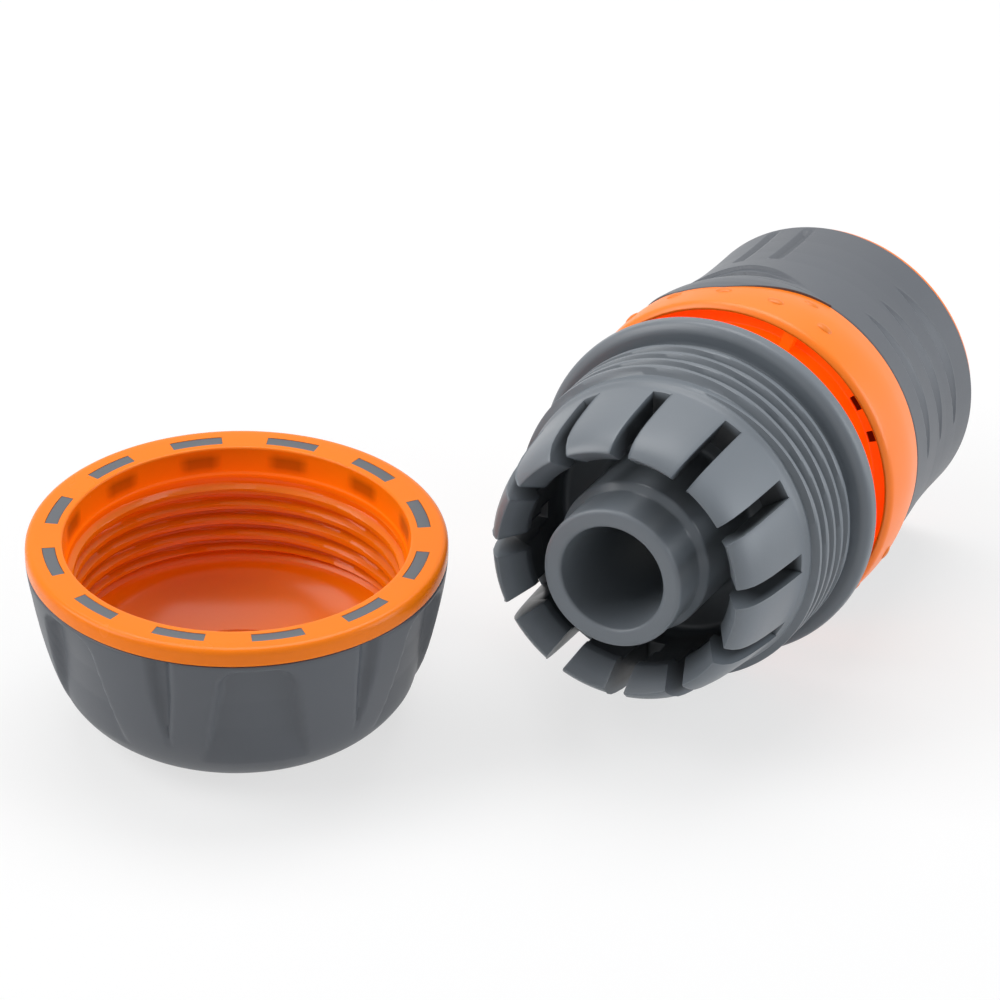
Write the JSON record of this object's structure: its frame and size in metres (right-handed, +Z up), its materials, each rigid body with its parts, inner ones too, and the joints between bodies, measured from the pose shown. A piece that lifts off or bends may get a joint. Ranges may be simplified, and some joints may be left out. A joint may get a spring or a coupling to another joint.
{
  "type": "garden hose quick connector",
  "caption": "Garden hose quick connector in grey and orange plastic, its clamping nut taken off and standing open side up beside the body.",
  "frame": {"origin": "centre of the footprint of both pieces together, on the surface they lie on", "axes": "+Y from the hose end towards the coupling end of the body, +Z up, +X to the right seen from the hose end"},
  "size_m": [0.0694, 0.077, 0.0333],
  "materials": {
    "orange_abs": "satin gloss",
    "grey_abs": "satin",
    "grey_soft_grip": "matt soft touch",
    "white_acetal": "satin",
    "black_rubber": "matt",
    "stainless_steel": "bright drawn wire"
  },
  "bodies": {
    "connector": {"connector_body": "grey_abs", "socket_core": "grey_abs", "stem_seal": "black_rubber", "return_spring": "stainless_steel", "nut_core": "orange_abs", "nut_grip": "grey_soft_grip"},
    "sleeve": {"release_collar": "orange_abs", "sleeve_grip": "grey_soft_grip"},
    "claw_1": {"locking_claw_1": "white_acetal"},
    "claw_2": {"locking_claw_2": "white_acetal"},
    "claw_3": {"locking_claw_3": "white_acetal"},
    "claw_4": {"locking_claw_4": "white_acetal"}
  },
  "joints": [
    {"name": "sleeve_slide", "type": "slide", "parent": "connector", "child": "sleeve", "axis": [0, -0.9952, 0.0976], "range_m": [0, 0.0036], "stiffness_N_per_m": 1200, "springref_m": -0.004, "deforming": ["return_spring"]},
    {"name": "claw_1_slide", "type": "slide", "parent": "connector", "child": "claw_1", "axis": [0.3827, 0.0901, 0.9195], "range_m": [0, 0.00075]},
    {"name": "claw_2_slide", "type": "slide", "parent": "connector", "child": "claw_2", "axis": [0.9239, -0.0373, -0.3809], "range_m": [0, 0.00075]},
    {"name": "claw_3_slide", "type": "slide", "parent": "connector", "child": "claw_3", "axis": [-0.3827, -0.0901, -0.9195], "range_m": [0, 0.00075]},
    {"name": "claw_4_slide", "type": "slide", "parent": "connector", "child": "claw_4", "axis": [-0.9239, 0.0373, 0.3809], "range_m": [0, 0.00075]}
  ],
  "couplings": [
    {"joint": "claw_1_slide", "follows": "sleeve_slide", "ratio": 0.2},
    {"joint": "claw_2_slide", "follows": "sleeve_slide", "ratio": 0.2},
    {"joint": "claw_3_slide", "follows": "sleeve_slide", "ratio": 0.2},
    {"joint": "claw_4_slide", "follows": "sleeve_slide", "ratio": 0.2}
  ]
}
